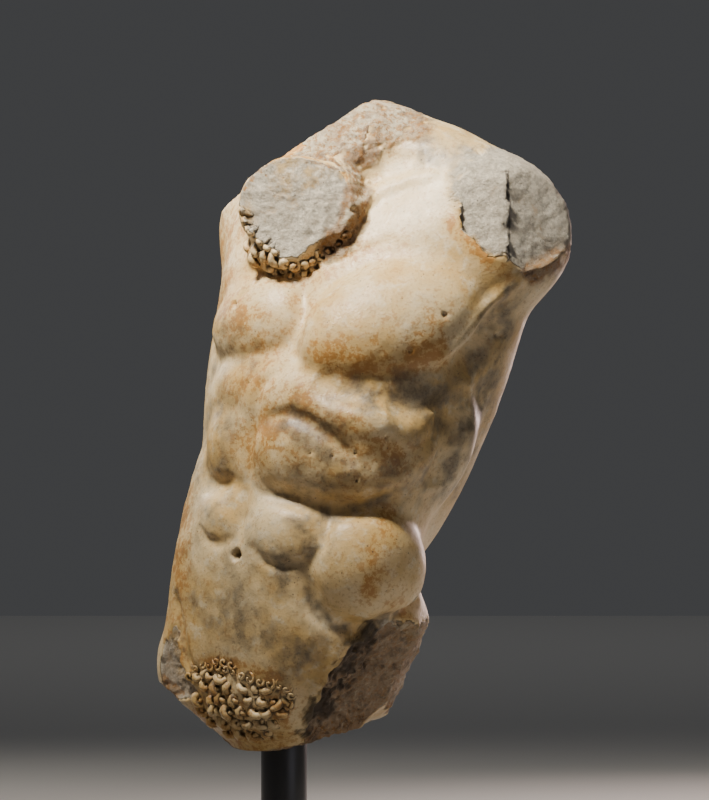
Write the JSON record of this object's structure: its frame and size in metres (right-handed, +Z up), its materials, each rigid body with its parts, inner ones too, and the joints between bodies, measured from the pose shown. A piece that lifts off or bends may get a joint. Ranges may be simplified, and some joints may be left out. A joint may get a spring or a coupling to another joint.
{
  "type": "statue",
  "caption": "Broken marble torso of a muscular bearded man, twisted at the waist, held up by a round steel post on a low flat base plate.",
  "frame": {"origin": "on the post's axis, at the underside of the base plate", "axes": "+Z up along the post; +Y away from the viewer of the pictured three-quarter view, which looks along +Y; +X to that viewer's right. The figure's own front is turned about 30 to 40 degrees to the viewer's left"},
  "size_m": [0.4867, 0.34, 0.823],
  "materials": {
    "marble": "worn semi-polished marble, stained and pitted, rough where broken",
    "satin_steel": "dark satin",
    "blackened_steel": "matt black"
  },
  "bodies": {
    "root": {"marble_torso": "marble", "mounting_post": "satin_steel", "base_plate": "blackened_steel"}
  },
  "joints": []
}
